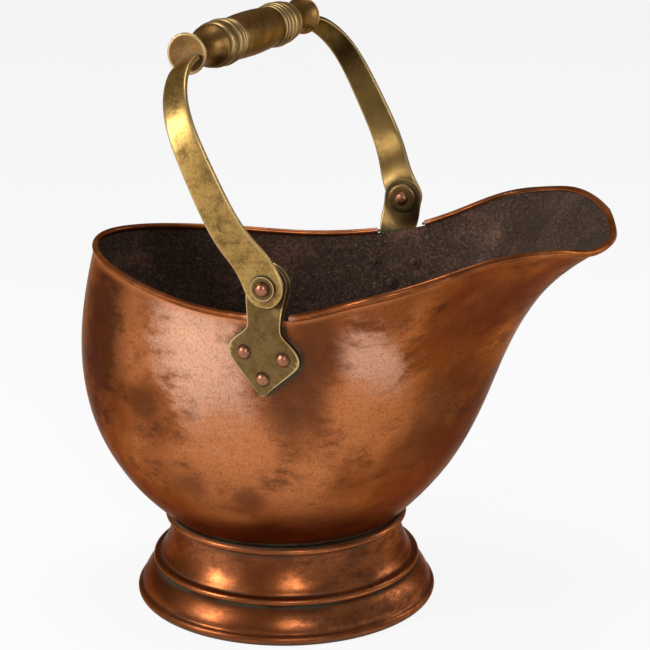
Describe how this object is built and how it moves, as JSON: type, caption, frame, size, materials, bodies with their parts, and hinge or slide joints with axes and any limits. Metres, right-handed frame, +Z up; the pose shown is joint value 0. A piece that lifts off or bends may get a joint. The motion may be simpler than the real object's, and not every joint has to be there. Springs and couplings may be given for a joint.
{
  "type": "coal scuttle",
  "caption": "Helmet-shaped copper coal scuttle with a wide pouring spout, a spreading round foot and a swinging brass bail handle with a turned grip.",
  "frame": {"origin": "on the floor, under the middle of the outline (the foot's centre lies 39.9 mm behind it)", "axes": "+X towards the pouring spout, +Y across to the far side, +Z up"},
  "size_m": [0.3768, 0.3116, 0.4056],
  "materials": {
    "copper": "aged copper sheet with brown patina",
    "rivet_copper": "polished copper, worn bright",
    "brass": "tarnished brass",
    "iron_wire": "dull tinned iron"
  },
  "bodies": {
    "scuttle": {"bowl": "copper", "foot": "copper", "rim_bead_front": "copper", "rim_bead_back": "copper", "rim_wire_front": "iron_wire", "rim_wire_back": "iron_wire", "strap_far": "brass", "strap_near": "brass", "strap_rivet_1_far": "rivet_copper", "strap_rivet_1_near": "rivet_copper", "strap_rivet_2_far": "rivet_copper", "strap_rivet_2_near": "rivet_copper", "strap_rivet_3_far": "rivet_copper", "strap_rivet_3_near": "rivet_copper", "rove_1_far": "rivet_copper", "rove_1_near": "rivet_copper", "rove_2_far": "rivet_copper", "rove_2_near": "rivet_copper", "rove_3_far": "rivet_copper", "rove_3_near": "rivet_copper", "pivot_pin_far": "rivet_copper", "pivot_pin_near": "rivet_copper", "spacer_far": "rivet_copper", "spacer_near": "rivet_copper", "outer_washer_far": "rivet_copper", "outer_washer_near": "rivet_copper", "inner_washer_far": "brass", "inner_washer_near": "brass"},
    "bail": {"arm_far": "brass", "arm_near": "brass", "grip": "brass", "grip_rod": "iron_wire"}
  },
  "joints": [
    {"name": "bail_pivot", "type": "hinge", "parent": "scuttle", "child": "bail", "pos_m": [0.0011, 0, 0.257], "axis": [0, 1, 0], "range_deg": [-61, 98]}
  ]
}
